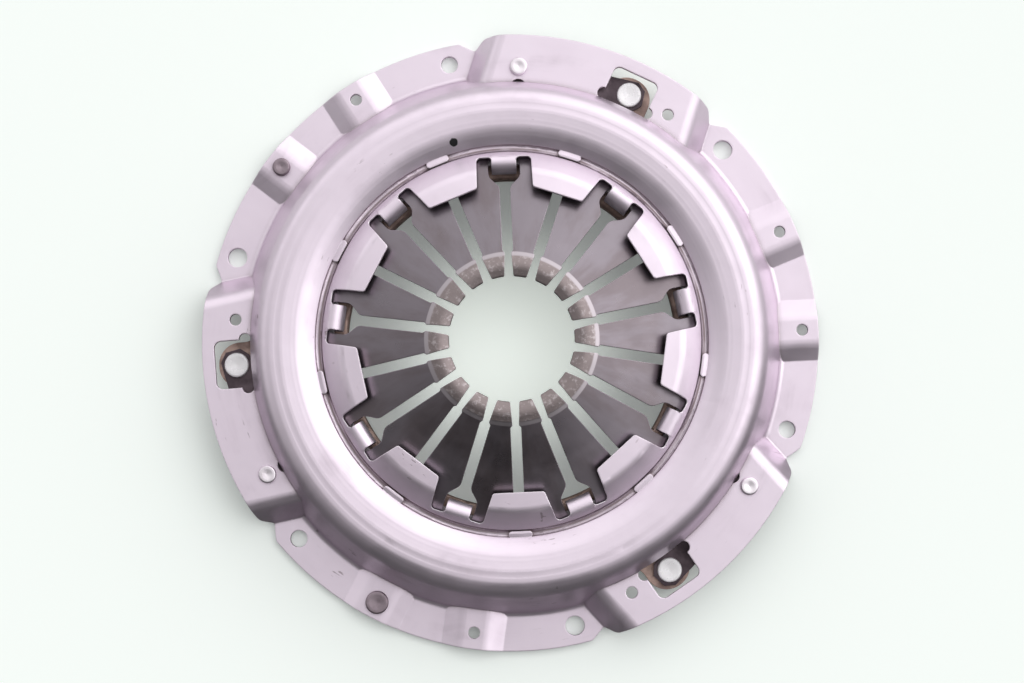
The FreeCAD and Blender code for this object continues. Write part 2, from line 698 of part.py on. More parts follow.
def make_spring():
    """The diaphragm spring: a coned ring with eighteen fingers."""
    body = start_body("diaphragm_spring", 0)
    bend_height = spring_top_at(finger_bend)
    head_height = bend_height + (
        finger_bend - finger_head
    ) * tangent(size.finger_cone)
    upper = [
        (spring_radius, spring_top_at(spring_radius), size.spring_round),
        (finger_bend, bend_height, size.finger_slope_length * 2),
        (finger_head, head_height, size.spring * 5),
        (finger_crest, head_height + size.head_rise, size.spring * 3),
        (size.finger_tip_radius, head_height + size.head_rise - size.head_drop, size.spring_round),
    ]
    lower = [
        (size.finger_tip_radius, head_height + size.head_rise - size.head_drop - spring_upright),
        (finger_crest, head_height + size.head_rise - spring_upright, size.spring * 2),
        (finger_head, head_height - spring_upright, size.spring * 5),
        (finger_bend, bend_height - spring_upright, size.finger_slope_length * 2),
        (spring_radius, spring_top_at(spring_radius) - spring_upright, size.spring_round),
    ]
    section = start_sketch(body, "XZ")
    outline(section, upper + lower)
    revolve(body, section)
    ceiling = size.crest_height * 1.3
    tip_turn = arcsine(size.tip_slot_half / size.finger_tip_radius)
    beyond = 240 / (size.tab_count * 2)
    for turn, half, wide_radius, end_radius in (
        (180 / size.tab_count, size.hook_window_half, hook_window, hook_window_end),
        (0, size.keyhole_half, hook_window - size.keyhole_lead, keyhole_end),
    ):
        slot = start_sketch(body, "XY", turn=turn, lift=ceiling)
        outline(slot, mirrored([
            (size.finger_tip_radius * sine(beyond), size.finger_tip_radius * cosine(beyond)),
            (size.tip_slot_half, size.finger_tip_radius * cosine(tip_turn), size.tip_corner),
            (size.head_slot_half, finger_head - size.slot_step / 2, size.spring_round),
            (size.slot_half, finger_head + size.slot_step / 2, size.spring_round),
            (size.slot_half, slot_flare, size.flare_bend),
            (half, wide_radius, size.flare_bend),
            (half, end_radius, size.window_round),
        ]))
        repeat(body, [extrude(body, slot, ceiling, cut=True)], size.tab_count)
    return body


def make_crown():
    """The ring that the hooks hold against the underside of the spring."""
    body = start_body("fulcrum_crown_ring", 0)
    flat_top = foot_top + size.crown
    bead_outer = fulcrum_radius + size.crown_nose
    section = start_sketch(body, "XZ")
    outline(section, [
        (crown_inner, foot_top, size.ring_round),
        (crown_outer, foot_top, size.ring_round),
        (crown_outer, flat_top, size.ring_round),
        (bead_outer + size.crown_bead, flat_top, size.ring_round),
        (bead_outer, crown_top, size.ring_round),
        (fulcrum_radius - size.crown_nose, crown_top, size.ring_round),
        (fulcrum_radius - size.crown_nose - size.crown_bead, flat_top, size.ring_round),
        (crown_inner, flat_top, size.ring_round),
    ])
    revolve(body, section)
    return body


def make_plate():
    """The cast pressure plate with its ridge and three lugs."""
    body = start_body("pressure_plate", 0)
    ridge_edge = ridge_radius + size.ridge_half
    ridge_top = spring_top_at(ridge_edge) - spring_upright - size.ridge_play
    section = start_sketch(body, "XZ")
    outline(section, [
        (plate_bore, size.friction_face + size.face_chamfer),
        (plate_bore + size.face_chamfer, size.friction_face),
        (plate_radius - size.face_chamfer, size.friction_face),
        (plate_radius, size.friction_face + size.face_chamfer),
        (plate_radius, size.plate_back, size.cast_round),
        (ridge_edge + size.ridge_lean, size.plate_back, size.cast_round / 2),
        (ridge_edge, ridge_top, size.ridge_half * 0.8),
        (ridge_radius - size.ridge_half, ridge_top, size.ridge_half * 0.8),
        (ridge_radius - size.ridge_half - size.ridge_lean, size.plate_back, size.cast_round),
        (land_radius + size.ridge_lean, size.plate_back, size.cast_round),
        (land_radius, size.plate_land, size.cast_round),
        (plate_bore, size.plate_land, size.cast_round),
    ])
    revolve(body, section)
    lug_bottom = size.lug_top - size.lug_thickness
    lug = start_sketch(body, "XY", turn=size.lug_angle, lift=lug_bottom)
    outline(lug, mirrored([
        (size.lug_root_half, ridge_radius - size.ridge_lean),
        (size.lug_root_half, plate_radius - size.ridge_lean, size.cast_round),
        (size.lug_half, plate_radius + size.lug_waist, size.lug_waist),
        (size.lug_half, lug_reach, size.lug_half * 0.96),
    ]))
    lug_pad = extrude(body, lug, size.lug_thickness)
    bore = start_sketch(body, "XY", turn=size.lug_angle, lift=above_pads)
    hole(bore, 0, rivet_radius, size.lug_shank / 2 + size.fit)
    bore_cut = extrude(body, bore, above_pads * 1.5, cut=True)
    recess = start_sketch(body, "XY", turn=size.lug_angle, lift=lug_bottom + size.lug_recess)
    hole(recess, 0, rivet_radius, size.lug_head / 2 + size.recess_play)
    recess_cut = extrude(body, recess, size.lug_thickness, cut=True)
    repeat(body, [lug_pad, bore_cut, recess_cut], size.pad_count)
    return body


def make_leaf(pad, layer):
    """One spring-steel leaf of a drive strap, bent between lug and cover."""
    middle = (size.anchor_angle + size.lug_angle) / 2
    body = start_body(f"drive_strap_{pad + 1}_leaf_{layer + 1}", middle + pad_pitch * pad)
    raise_by = (size.leaf + size.leaf_gap) * layer
    lug_level = size.lug_top + raise_by
    cover_level = strap_bottom + raise_by
    end = strap_half_length + size.strap_end
    flat = strap_half_length - size.strap_flat
    side = start_sketch(body, "XZ", lift=-strap_line)
    outline(side, [
        (end, lug_level),
        (end, lug_level + size.leaf),
        (flat, lug_level + size.leaf, size.strap_bend),
        (-flat, cover_level + size.leaf, size.strap_bend),
        (-end, cover_level + size.leaf),
        (-end, cover_level),
        (-flat, cover_level, size.strap_bend),
        (flat, lug_level, size.strap_bend),
    ])
    extrude(body, side, size.strap_width, both_ways=True)
    half_width = size.strap_width / 2
    for way in (-1, 1):
        corners = start_sketch(body, "XY", lift=above_pads)
        for sign in (-1, 1):
            edge = strap_line + half_width * sign
            beside, cut_edge = edge + sign, edge - size.strap_corner * 0.9 * sign
            outline(corners, [
                (way * (end + size.leaf), beside),
                (way * (end - size.strap_corner), beside),
                (way * (end - size.strap_corner), edge),
                (way * end, cut_edge),
                (way * (end + size.leaf), cut_edge),
            ])
        extrude(body, corners, above_pads, cut=True)
    holes = start_sketch(body, "XY", lift=above_pads)
    hole(holes, strap_half_length, strap_line, size.lug_shank / 2 + size.fit)
    hole(holes, -strap_half_length, strap_line, size.anchor_shank / 2 + size.fit)
    extrude(body, holes, above_pads, cut=True)
    return body


def make_rivet(label, turn, radius, shank, levels, head, tail):
    """A rivet: head, shank and closed tail, turned about its own axis."""
    body = start_body(label, turn)
    tail_bottom, tail_top, seat, top = levels
    section = start_sketch(body, "YZ", along=radius)
    outline(section, [
        (0, tail_bottom),
        (tail, tail_bottom, size.head_round / 2),
        (tail, tail_top),
        (shank, tail_top),
        (shank, seat),
        (head, seat),
        (head, top, size.head_round),
        (head - size.head_round * 2, top),
        (0, top - size.head_dish),
    ])
    revolve(body, section)
    return body


def make_rivets():
    """Strap rivets in the cover, lug rivets in the plate, and two balance rivets."""
    for pad in range(int(size.pad_count.value)):
        make_rivet(
            f"strap_rivet_{pad + 1}", size.anchor_angle + pad_pitch * pad, rivet_radius,
            size.anchor_shank / 2,
            (strap_bottom - size.head_height, strap_bottom, size.pad_top,
             size.pad_top + size.head_height),
            size.anchor_head / 2, size.anchor_head / 2,
        )
        recess_top = size.lug_top - size.lug_thickness + size.lug_recess
        make_rivet(
            f"lug_rivet_{pad + 1}", size.lug_angle + pad_pitch * pad, rivet_radius,
            size.lug_shank / 2,
            (recess_top - size.lug_recess + size.recess_play, recess_top,
             head_top - size.head_height, head_top),
            size.lug_head / 2, size.lug_head / 2,
        )
    rib_top = size.sheet + size.rib_rise
    for label, turn, head in (
        ("balance_rivet_small", segment_angle + size.rib_angle, size.small_balance_head),
        ("balance_rivet_large", 3 * segment_angle - size.rib_angle, size.large_balance_head),
    ):
        make_rivet(
            label, turn, balance_radius, size.balance_hole / 2 - size.fit,
            (size.rib_rise - size.balance_tail, size.rib_rise, rib_top,
             rib_top + size.balance_head_height),
            head / 2, head / 2 - size.head_round,
        )


make_cover()
make_spring()
make_crown()
make_plate()
for pad_index in range(int(size.pad_count.value)):
    for layer_index in range(int(size.leaf_count.value)):
        make_leaf(pad_index, layer_index)
make_rivets()
for body in bodies:
    body.Tip.Refine = True
doc.recompute()

for item in doc.Objects:
    if "Invalid" in item.State or "Error" in item.State:
        raise RuntimeError(f"{item.Name} ({item.TypeId}) failed: {item.State}")
for body in bodies:
    if body.Shape.isNull() or not body.Shape.isValid() or len(body.Shape.Solids) != 1:
        raise RuntimeError(f"{body.Label} is not one valid solid")

os.makedirs("parts", exist_ok=True)
for body in bodies:
    body.Shape.exportStep(os.path.join("parts", f"{body.Label}.step"))
    print(f"{body.Label}: {body.Shape.Volume / 1000:.2f} cm3")
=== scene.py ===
import json
import math

import bpy
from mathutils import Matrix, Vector

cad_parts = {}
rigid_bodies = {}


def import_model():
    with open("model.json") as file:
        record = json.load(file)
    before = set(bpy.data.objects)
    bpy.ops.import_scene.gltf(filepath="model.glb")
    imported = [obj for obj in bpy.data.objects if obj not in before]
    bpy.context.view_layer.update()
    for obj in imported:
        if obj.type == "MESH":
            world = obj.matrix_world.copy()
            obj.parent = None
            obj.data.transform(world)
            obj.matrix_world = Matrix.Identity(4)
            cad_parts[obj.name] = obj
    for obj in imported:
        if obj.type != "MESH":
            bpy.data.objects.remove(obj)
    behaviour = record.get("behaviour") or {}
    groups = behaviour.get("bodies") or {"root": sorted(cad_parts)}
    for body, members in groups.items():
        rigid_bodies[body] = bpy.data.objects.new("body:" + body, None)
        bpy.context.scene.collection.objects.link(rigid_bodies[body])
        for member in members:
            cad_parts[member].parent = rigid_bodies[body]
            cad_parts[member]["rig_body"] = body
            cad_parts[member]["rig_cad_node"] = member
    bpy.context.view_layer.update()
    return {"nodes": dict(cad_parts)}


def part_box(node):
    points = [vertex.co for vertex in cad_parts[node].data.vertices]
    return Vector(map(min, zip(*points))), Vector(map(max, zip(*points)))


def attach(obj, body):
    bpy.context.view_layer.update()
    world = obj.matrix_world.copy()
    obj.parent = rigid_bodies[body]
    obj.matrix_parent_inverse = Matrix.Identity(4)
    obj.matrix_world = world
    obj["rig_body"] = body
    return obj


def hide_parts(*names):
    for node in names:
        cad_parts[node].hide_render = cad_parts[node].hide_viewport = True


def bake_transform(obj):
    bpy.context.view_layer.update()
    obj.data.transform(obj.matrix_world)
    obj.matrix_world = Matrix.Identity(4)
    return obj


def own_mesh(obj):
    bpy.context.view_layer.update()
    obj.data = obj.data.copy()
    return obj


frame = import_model()
bpy.ops.object.select_all(action="DESELECT")
nodes = frame["nodes"]
print("frame loaded:", len(nodes), "nodes")

mm = 0.001


# Camera
shot = {
    "distance": 1.2,  # metres from the mounting face to the lens
    "tilt": 3.6,  # degrees off the clutch axis, towards -Y
    "pixelsPerMetre": 2260.4,  # at the mounting face
    "picture": (1024, 683),
    "origin": (511.8, 343.9),  # pixel where the middle of the mounting face shows
    "sensor": 36.0,  # mm
    "farthest": 20,  # metres that the lens still sees
}


def placeCamera():
    width, height = shot["picture"]
    column, row = shot["origin"]
    perMetre = shot["pixelsPerMetre"]
    data = bpy.data.cameras.new("camera")
    data.sensor_width = shot["sensor"]
    data.lens = shot["sensor"] * shot["distance"] * perMetre / width
    data.clip_end = shot["farthest"]
    camera = bpy.data.objects.new("camera", data)
    bpy.context.scene.collection.objects.link(camera)
    tilt = math.radians(shot["tilt"])
    back = Vector((0, -math.sin(tilt), math.cos(tilt)))
    aim = Vector(((width / 2 - column) / perMetre, (row - height / 2) / perMetre, 0))
    camera.location = aim + back * shot["distance"]
    camera.rotation_euler = (tilt, 0, 0)
    bpy.context.scene.camera = camera


placeCamera()
print("camera placed")


# Node helpers
def addNode(tree, kind, **settings):
    node = tree.nodes.new(kind)
    for name, value in settings.items():
        setattr(node, name, value)
    return node


def join(tree, source, target):
    tree.links.new(source, target)


# A value for a socket is another node's output, a number, or a colour or place of three numbers
def feed(tree, socket, value):
    if isinstance(value, bpy.types.NodeSocket):
        join(tree, value, socket)
    elif socket.type == "RGBA":
        socket.default_value = (*value, 1)
    else:
        socket.default_value = value


def feedInOrder(tree, node, values):
    for socket, value in zip(node.inputs, values):
        feed(tree, socket, value)


def feedByName(tree, node, values):
    for name, value in values.items():
        feed(tree, node.inputs[name], value)


def maths(tree, operation, *values):
    node = addNode(tree, "ShaderNodeMath", operation=operation)
    feedInOrder(tree, node, values)
    return node.outputs[0]


def measure(tree, operation, *vectors):  # a length, a distance or a dot product
    node = addNode(tree, "ShaderNodeVectorMath", operation=operation)
    feedInOrder(tree, node, vectors)
    return node.outputs["Value"]


def separate(tree, vector):
    node = addNode(tree, "ShaderNodeSeparateXYZ")
    join(tree, vector, node.inputs[0])
    return node.outputs[:]


def combine(tree, *parts):
    node = addNode(tree, "ShaderNodeCombineXYZ")
    feedInOrder(tree, node, parts)
    return node.outputs[0]


def ramp(tree, value, low, high, start=0.0, end=1.0, kind="SMOOTHSTEP"):
    node = addNode(tree, "ShaderNodeMapRange", interpolation_type=kind)
    feedByName(tree, node, {
        "Value": value, "From Min": low, "From Max": high, "To Min": start, "To Max": end})
    return node.outputs["Result"]


def fadeOut(tree, mask):  # full where the mask is empty
    return ramp(tree, mask, 0, 1, 1, 0)


def mixColour(tree, mask, first, second):
    node = addNode(tree, "ShaderNodeMix", data_type="RGBA")
    for place, value in ((0, mask), (6, first), (7, second)):  # its factor and two colours
        feed(tree, node.inputs[place], value)
    return node.outputs[2]


def mixShader(tree, mask, first, second):
    node = addNode(tree, "ShaderNodeMixShader")
    feedInOrder(tree, node, (mask, first, second))
    return node.outputs[0]


def noise(tree, vector, scale, detail, roughness=0.5):
    node = addNode(tree, "ShaderNodeTexNoise")
    feedByName(tree, node, {
        "Vector": vector, "Scale": scale, "Detail": detail, "Roughness": roughness})
    return node.outputs["Fac"]


def addBump(tree, height, strength, depth, normal):
    node = addNode(tree, "ShaderNodeBump")
    feedByName(tree, node, {
        "Height": height, "Strength": strength, "Distance": depth * mm, "Normal": normal})
    return node.outputs[0]


def objectPoint(tree):
    return addNode(tree, "ShaderNodeTexCoord").outputs["Object"]


def heightOf(tree):
    return separate(tree, objectPoint(tree))[2]


def flatPoint(tree):  # the point with its height left out
    return combine(tree, *separate(tree, objectPoint(tree))[:2])


# Soft light all round, stronger on the right and behind, and dark in front
light = {
    "spread": 14,  # the higher, the narrower each glow
    "level": 0.95,
    "rings": (  # degrees off the axis, then the strengths at even steps round from +X
        (0, (0.51,)),
        (34, (2.10, 1.60, 0.92, 0.45, 0.0, 0.0)),
        (68, (1.35, 2.32, 1.51, 1.16, 1.20, 0.90, 0.10, 0.18, 0.18, 0.10)),
    ),
}


def sumOfGlows(tree):
    direction = addNode(tree, "ShaderNodeTexCoord").outputs["Generated"]
    level = 0.0
    for off, strengths in light["rings"]:
        off = math.radians(off)
        for step, strength in enumerate(strengths):
            turn = math.radians(360 * step / len(strengths))
            middle = (math.sin(off) * math.cos(turn), math.sin(off) * math.sin(turn), math.cos(off))
            facing = maths(tree, "MAXIMUM", measure(tree, "DOT_PRODUCT", direction, middle), 0.0)
            glow = maths(tree, "POWER", facing, light["spread"])
            level = maths(tree, "MULTIPLY_ADD", glow, strength * light["level"], level)
    return level


def makeWorld():
    world = bpy.data.worlds.new("studio")
    bpy.context.scene.world = world
    world.use_nodes = True
    tree = world.node_tree
    tree.nodes.clear()
    studio = addNode(tree, "ShaderNodeBackground")
    white = addNode(tree, "ShaderNodeBackground")
    for background in (studio, white):
        feed(tree, background.inputs["Color"], (1, 1, 1))
    join(tree, sumOfGlows(tree), studio.inputs["Strength"])
    fromCamera = addNode(tree, "ShaderNodeLightPath").outputs["Is Camera Ray"]
    surface = mixShader(tree, fromCamera, studio.outputs[0], white.outputs[0])
    join(tree, surface, addNode(tree, "ShaderNodeOutputWorld").inputs["Surface"])


makeWorld()
bpy.context.scene.view_settings.view_transform = "Standard"
print("world lit")


# Floor
table = {
    "half": 3.0,  # metres
    "drop": 0.0003,  # metres below the mounting face
    "colour": (0.80, 0.84, 0.81),
    "lift": (0.16, 0.17, 0.165),  # a glow of its own, for the camera
    "middle": (0.37, 0.40, 0.37),  # painted light: a stronger glow where the floor shows through the bore, lifting its shade
    "boreLightReach": (62.0, 20.0),  # radii between which it fades in, mm
    "mirrored": (0.12, 0.80),  # painted shade on the floor as the steel sees it: how light it is in front and behind
    "mirrorFade": (-0.10, 0.10),  # metres along +Y between the two
}


def makeFloor():
    bpy.ops.mesh.primitive_plane_add(size=table["half"] * 2, location=(0, 0, -table["drop"]))
    floor = bpy.context.active_object
    floor.name = "floor"
    material = bpy.data.materials.new("paleTable")
    material.use_nodes = True
    tree = material.node_tree
    tree.nodes.clear()

    matte = addNode(tree, "ShaderNodeBsdfDiffuse")
    feed(tree, matte.inputs["Color"], table["colour"])
    # painted light on the shaded floor under the bore
    outer, inner = table["boreLightReach"]
    middle = ramp(tree, measure(tree, "LENGTH", objectPoint(tree)), outer * mm, inner * mm)
    glow = addNode(tree, "ShaderNodeEmission")
    join(tree, mixColour(tree, middle, table["lift"], table["middle"]), glow.inputs["Color"])
    lifted = addNode(tree, "ShaderNodeAddShader")
    feedInOrder(tree, lifted, (matte.outputs[0], glow.outputs[0]))

    # Painted shade: the floor that the steel mirrors is darker in front
    behind = separate(tree, objectPoint(tree))[1]
    mirrored = addNode(tree, "ShaderNodeBsdfDiffuse")
    shade = ramp(tree, behind, *table["mirrorFade"], *table["mirrored"])
    join(tree, shade, mirrored.inputs["Color"])

    ray = addNode(tree, "ShaderNodeLightPath").outputs
    inSteel = mixShader(tree, ray["Is Glossy Ray"], matte.outputs[0], mirrored.outputs[0])
    surface = mixShader(tree, ray["Is Camera Ray"], inSteel, lifted.outputs[0])
    join(tree, surface, addNode(tree, "ShaderNodeOutputMaterial").inputs["Surface"])
    floor.data.materials.append(material)
    floor.select_set(False)


makeFloor()
print("floor laid")


# Shared surface effects
def newGroup(name, inputs, outputs):
    group = bpy.data.node_groups.new(name, "ShaderNodeTree")
    for label in inputs:
        group.interface.new_socket(name=label, in_out="INPUT", socket_type="NodeSocketFloat")
    for label, kind in outputs.items():
        group.interface.new_socket(name=label, in_out="OUTPUT", socket_type=kind)
    return group, addNode(group, "NodeGroupInput"), addNode(group, "NodeGroupOutput")


def useGroup(tree, group, **values):
    node = addNode(tree, "ShaderNodeGroup", node_tree=group)
    feedByName(tree, node, values)
    return node.outputs


# Turns with the angle and runs on with radius and height, so that noise in it draws rings;
# the higher Around and Across are, the finer those are one way and the other
def makeRoundCoordinates():
    group, given, result = newGroup(
        "roundTheAxis", ("Around", "Across"),
        {"Vector": "NodeSocketVector", "Radius": "NodeSocketFloat"},
    )
    flat = flatPoint(group)
    radius = measure(group, "LENGTH", flat)
    heading = addNode(group, "ShaderNodeVectorMath", operation="NORMALIZE")
    join(group, flat, heading.inputs[0])
    turn = addNode(group, "ShaderNodeVectorMath", operation="SCALE")
    join(group, heading.outputs[0], turn.inputs[0])
    join(group, given.outputs["Around"], turn.inputs["Scale"])
    reach = maths(group, "ADD", radius, heightOf(group))
    across = maths(group, "MULTIPLY", reach, given.outputs["Across"])
    vector = combine(group, *separate(group, turn.outputs[0])[:2], across)
    join(group, vector, result.inputs["Vector"])
    join(group, radius, result.inputs["Radius"])
    return group


wornAndHighlitEdge = {
    "samples": 4,
    "fade": (0.99, 0.8),  # likeness of the rounded and the flat normal, at no and at full wear and painted highlight
}


# Rounded edges: the mask where a lighter colour stands for both wear and a painted highlight
def makeEdgeWearAndHighlight():
    group, given, result = newGroup(
        "edgeWearAndHighlight", ("Width",), {"Mask": "NodeSocketFloat", "Normal": "NodeSocketVector"})
    soft = addNode(group, "ShaderNodeBevel", samples=wornAndHighlitEdge["samples"])
    join(group, given.outputs["Width"], soft.inputs["Radius"])
    flat = addNode(group, "ShaderNodeNewGeometry").outputs["Normal"]
    likeness = measure(group, "DOT_PRODUCT", soft.outputs[0], flat)
    join(group, ramp(group, likeness, *wornAndHighlitEdge["fade"]), result.inputs["Mask"])
    join(group, soft.outputs[0], result.inputs["Normal"])
    return group


roundTheAxis = makeRoundCoordinates()
edgeWearAndHighlight = makeEdgeWearAndHighlight()


def startMaterial(name):
    material = bpy.data.materials.new(name)
    material.use_nodes = True
    tree = material.node_tree
    return material, tree, tree.nodes["Principled BSDF"].inputs


def dress(piece, material):
    piece.data.materials.clear()
    piece.data.materials.append(material)


# Cover: satin pressed steel. In this and every finish below, lengths are in mm, a noise is given
# by its scale, detail and roughness, a fade by the levels it runs between, and a bump by its
# strength and depth
coverFinish = {
    "colour": (0.74, 0.65, 0.735),
    "dull": (0.60, 0.52, 0.59),
    # lighter edges: wear and a painted highlight
    "edge": (0.90, 0.84, 0.89),
    "edgeWidth": 0.7,
    "gloss": (0.38, 0.50),
    "glossFade": (0.3, 0.7),
    "drawn": {"Around": 0.9, "Across": 60.0},
    "streaks": (2.2, 4, 0.6),
    "streakFade": (0.45, 0.75),
    "smudges": (42, 4, 0.6),
    "smudgeFade": (0.40, 0.75),
    "waves": (55, 2),
    "grain": (1500, 2),
    "grainHeight": 0.01,  # part of the waves' height
    "bump": (0.35, 0.4),
    "dark": (0.20, 0.15, 0.16),  # colour of the painted shade in creases and in the groove, and of scratches
    "darkness": 0.9,  # how far the painted shade in creases and in the groove reaches it
    # painted shade in creases, from ambient occlusion
    "creaseShade": {"samples": 6, "reach": 4.5, "fade": (0.80, 0.50)},
    "grooveShade": {  # painted shade, a broken dark line in the groove
        "radius": 83.3,
        "half": (0.65, 0.26),  # half width, and the part of it that is full
        "height": (26.9, 26.6),  # it fades in between these
        "breaks": (60, 3, 0.5),
        "breakFade": (0.30, 0.55, 0.45, 1.0),
    },
    "scratches": {
        "along": {"Around": 5.0, "Across": 260.0},
        "lines": (3.2, 2, 0.5),
        "lineFade": (0.66, 0.70),
        "patches": (33, 2, 0.5),
        "patchFade": (0.58, 0.66),
        "darkness": 0.6,
    },
    "dab": {  # of black paint
        "colour": (0.004, 0.004, 0.005),
        "radius": 89.2,
        "angle": 106.4,  # degrees from +X
        "size": (1.9, 1.65),
        "edge": (420, 2),
        "ragged": 1.2,
    },
    "dome": {  # a gentler section, by shading
        "reach": (83.6, 111.6),  # radii
        "bump": (1.0, 4.0),
        "line": (  # part of the reach, part of the depth
            (0.0, 1.0), (0.06, 0.90), (0.12, 0.76), (0.23, 0.44), (0.33, 0.21), (0.41, 0.06),
            (0.48, 0.0), (0.58, 0.0), (0.64, 0.02), (0.69, 0.09), (0.77, 0.24), (0.84, 0.33),
            (0.92, 0.38), (1.0, 0.38),
        ),
    },
}


# Painted shade: darker where ambient occlusion finds creases
def findCreaseShade(tree):
    creaseShade = coverFinish["creaseShade"]
    closed = addNode(tree, "ShaderNodeAmbientOcclusion", samples=creaseShade["samples"], only_local=True)
    feed(tree, closed.inputs["Distance"], creaseShade["reach"] * mm)
    return ramp(tree, closed.outputs["AO"], *creaseShade["fade"])


# Painted shade: a broken dark line along the groove, only below a set height
def findGrooveShade(tree, radius):
    grooveShade = coverFinish["grooveShade"]
    outer, inner = grooveShade["half"]
    top, full = grooveShade["height"]
    off = maths(tree, "ABSOLUTE", maths(tree, "SUBTRACT", radius, grooveShade["radius"] * mm))
    line = ramp(tree, off, outer * mm, inner * mm)
    broken = ramp(tree, noise(tree, objectPoint(tree), *grooveShade["breaks"]), *grooveShade["breakFade"])
    low = ramp(tree, heightOf(tree), top * mm, full * mm)
    return maths(tree, "MULTIPLY", maths(tree, "MULTIPLY", line, broken), low)


def findScratches(tree):
    scratches = coverFinish["scratches"]
    along = useGroup(tree, roundTheAxis, **scratches["along"])
    lines = ramp(tree, noise(tree, along["Vector"], *scratches["lines"]), *scratches["lineFade"])
    patches = noise(tree, objectPoint(tree), *scratches["patches"])
    both = maths(tree, "MULTIPLY", lines, ramp(tree, patches, *scratches["patchFade"]))
    return maths(tree, "MULTIPLY", both, scratches["darkness"])


def findDab(tree):
    dab = coverFinish["dab"]
    angle = math.radians(dab["angle"])
    place = (dab["radius"] * mm * math.cos(angle), dab["radius"] * mm * math.sin(angle), 0)
    outer, inner = dab["size"]
    away = measure(tree, "DISTANCE", flatPoint(tree), place)
    ragged = maths(tree, "SUBTRACT", noise(tree, objectPoint(tree), *dab["edge"]), 0.5)
    away = maths(tree, "MULTIPLY_ADD", ragged, dab["ragged"] * mm, away)
    return ramp(tree, away, outer * mm, inner * mm)


def softenDome(tree, radius, normal):
    dome = coverFinish["dome"]
    inner, outer = dome["reach"]
    curve = addNode(tree, "ShaderNodeFloatCurve")
    line = curve.mapping.curves[0]
    line.points[0].location = dome["line"][0]
    line.points[1].location = dome["line"][-1]
    for point in dome["line"][1:-1]:
        line.points.new(*point)
    curve.mapping.update()
    along = ramp(tree, radius, inner * mm, outer * mm, kind="LINEAR")
    join(tree, along, curve.inputs["Value"])
    upright = separate(tree, addNode(tree, "ShaderNodeNewGeometry").outputs["Normal"])[2]
    # the underside takes the same curve the other way round
    height = maths(tree, "MULTIPLY", curve.outputs[0], maths(tree, "SIGN", upright))
    return addBump(tree, height, *dome["bump"], normal)


def makeCoverSteel():
    finish = coverFinish
    material, tree, shader = startMaterial("coverSteel")
    drawn = useGroup(tree, roundTheAxis, **finish["drawn"])
    streaks = noise(tree, drawn["Vector"], *finish["streaks"])
    smudges = noise(tree, objectPoint(tree), *finish["smudges"])
    dull = maths(tree, "MULTIPLY", ramp(tree, streaks, *finish["streakFade"]),
                 ramp(tree, smudges, *finish["smudgeFade"]))
    colour = mixColour(tree, dull, finish["colour"], finish["dull"])
    roundedEdge = useGroup(tree, edgeWearAndHighlight, Width=finish["edgeWidth"] * mm)
    # wear and painted highlight on the edges
    colour = mixColour(tree, roundedEdge["Mask"], colour, finish["edge"])
    # painted shade in creases and the groove, then scratches, take the dark colour
    dark = maths(tree, "MAXIMUM", findCreaseShade(tree), findGrooveShade(tree, drawn["Radius"]))
    colour = mixColour(tree, maths(tree, "MULTIPLY", dark, finish["darkness"]), colour,
                       finish["dark"])
    colour = mixColour(tree, findScratches(tree), colour, finish["dark"])
    paint = findDab(tree)
    colour = mixColour(tree, paint, colour, finish["dab"]["colour"])
    join(tree, colour, shader["Base Color"])
    join(tree, fadeOut(tree, paint), shader["Metallic"])
    join(tree, ramp(tree, smudges, *finish["glossFade"], *finish["gloss"]), shader["Roughness"])

    waves = noise(tree, objectPoint(tree), *finish["waves"])
    grain = noise(tree, objectPoint(tree), *finish["grain"])
    height = maths(tree, "MULTIPLY_ADD", grain, finish["grainHeight"], waves)
    normal = addBump(tree, height, *finish["bump"], roundedEdge["Normal"])
    join(tree, softenDome(tree, drawn["Radius"], normal), shader["Normal"])
    return material


dress(nodes["cover"], makeCoverSteel())
print("cover dressed")


# Diaphragm spring: dark hardened steel, worn on the finger heads
springFinish = {
    "colour": (0.215, 0.19, 0.212),
    "brown": (0.175, 0.148, 0.16),
    "rolled": {"Around": 2.5, "Across": 25.0},
    "patches": (1.6, 4, 0.6),  # where it is brown
    "patchFade": (0.38, 0.66),
    "clouds": (90, 4, 0.65),
    # lighter edges: wear and a painted highlight
    "edge": (0.75, 0.70, 0.74),
    "edgeWidth": 0.45,
    "edgeWearAndHighlight": 0.8,
    "gloss": (0.27, 0.36),
    "glossFade": (0.3, 0.7),
    "band": (0.40, 0.36, 0.385),  # a bright band at the head's edge
    "bandReach": (37.9, 37.4),  # radii between which it fades in
    "head": (0.25, 0.21, 0.21),  # the head inside the band
    "headReach": (36.3, 35.5),
    "headMatt": 0.12,  # how much rougher it is
    "fleck": (0.50, 0.45, 0.46),
    "speckle": (380, 6, 0.75),
    "speckleFade": (0.50, 0.72),
    "bump": (0.5, 0.25),
    "speckleHeight": (0.9, 0.03),  # on the heads, and everywhere
    "cloudHeight": 0.25,
}


